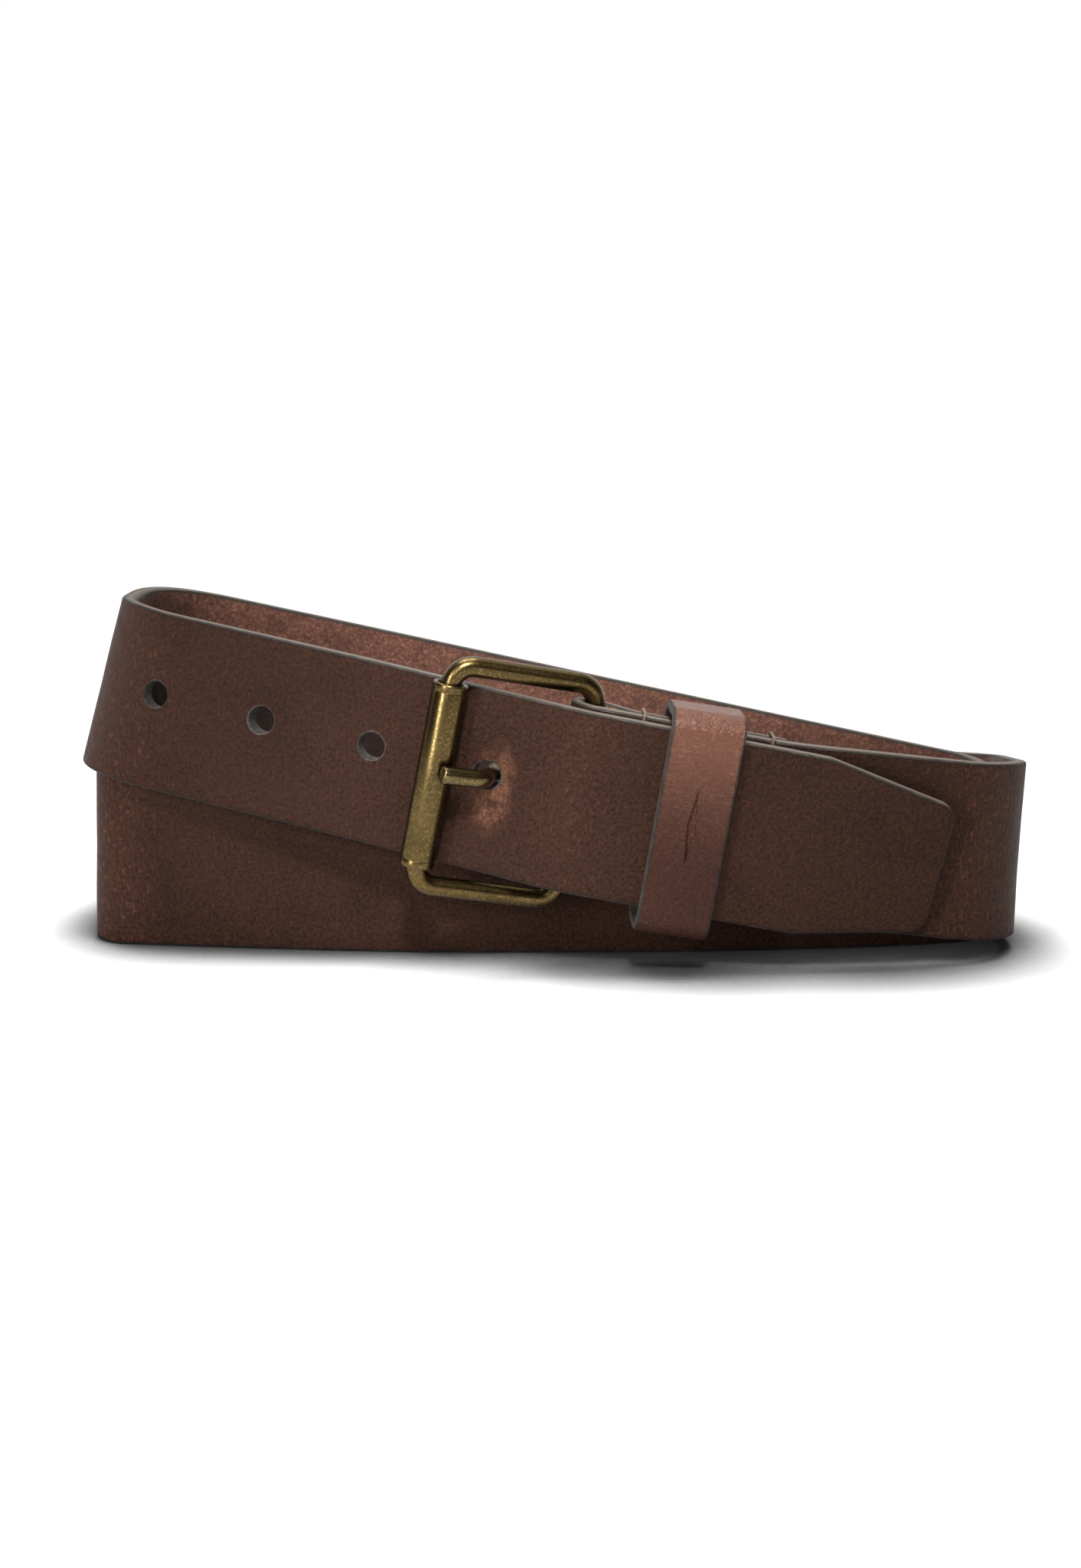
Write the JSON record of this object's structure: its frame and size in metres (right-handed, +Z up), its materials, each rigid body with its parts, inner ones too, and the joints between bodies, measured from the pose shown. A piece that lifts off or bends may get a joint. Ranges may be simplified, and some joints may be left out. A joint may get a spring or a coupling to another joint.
{
  "type": "belt",
  "caption": "Leather belt with a roller buckle, fastened on its first hole and stood on edge in a double coil, its tapered tip under a sliding leather keeper.",
  "frame": {"origin": "middle of the base of the standing coil", "axes": "+X along the coil towards the strap's tip, the buckle faces -Y, +Z up across the strap's width"},
  "size_m": [0.2072, 0.0798, 0.0758],
  "materials": {
    "strap_leather": "waxed, burnished edges",
    "keeper_leather": "waxed, slight gloss",
    "frame_brass": "antiqued",
    "roller_brass": "antiqued",
    "prong_brass": "antiqued",
    "staple_steel": "plain wire",
    "thread": "waxed thread"
  },
  "bodies": {
    "belt": {"strap": "strap_leather", "stitch_row_buckle": "thread", "stitch_row_flap": "thread"},
    "buckle": {"buckle_frame": "frame_brass"},
    "roller_tube": {"roller": "roller_brass"},
    "tongue": {"prong": "prong_brass"},
    "keeper": {"keeper_loop": "keeper_leather", "keeper_staple": "staple_steel"}
  },
  "joints": [
    {"name": "frame_swing", "type": "hinge", "parent": "belt", "child": "buckle", "pos_m": [0.00628, -0.0251, 0.03824], "axis": [0.1985, -0.0403, 0.9793], "range_deg": [-0.4, 2.4]},
    {"name": "prong_swing", "type": "hinge", "parent": "buckle", "child": "tongue", "pos_m": [0.00628, -0.0251, 0.03824], "axis": [0.1985, -0.0403, 0.9793], "range_deg": [-0.4, 1.5]},
    {"name": "roller_spin", "type": "hinge", "parent": "buckle", "child": "roller_tube", "pos_m": [-0.02309, -0.03266, 0.04306], "axis": [0.1985, -0.0403, 0.9793], "continuous": true},
    {"name": "keeper_slide", "type": "slide", "parent": "belt", "child": "keeper", "axis": [0.9788, 0.0599, -0.1959], "range_m": [-0.005, 0.0048]}
  ]
}
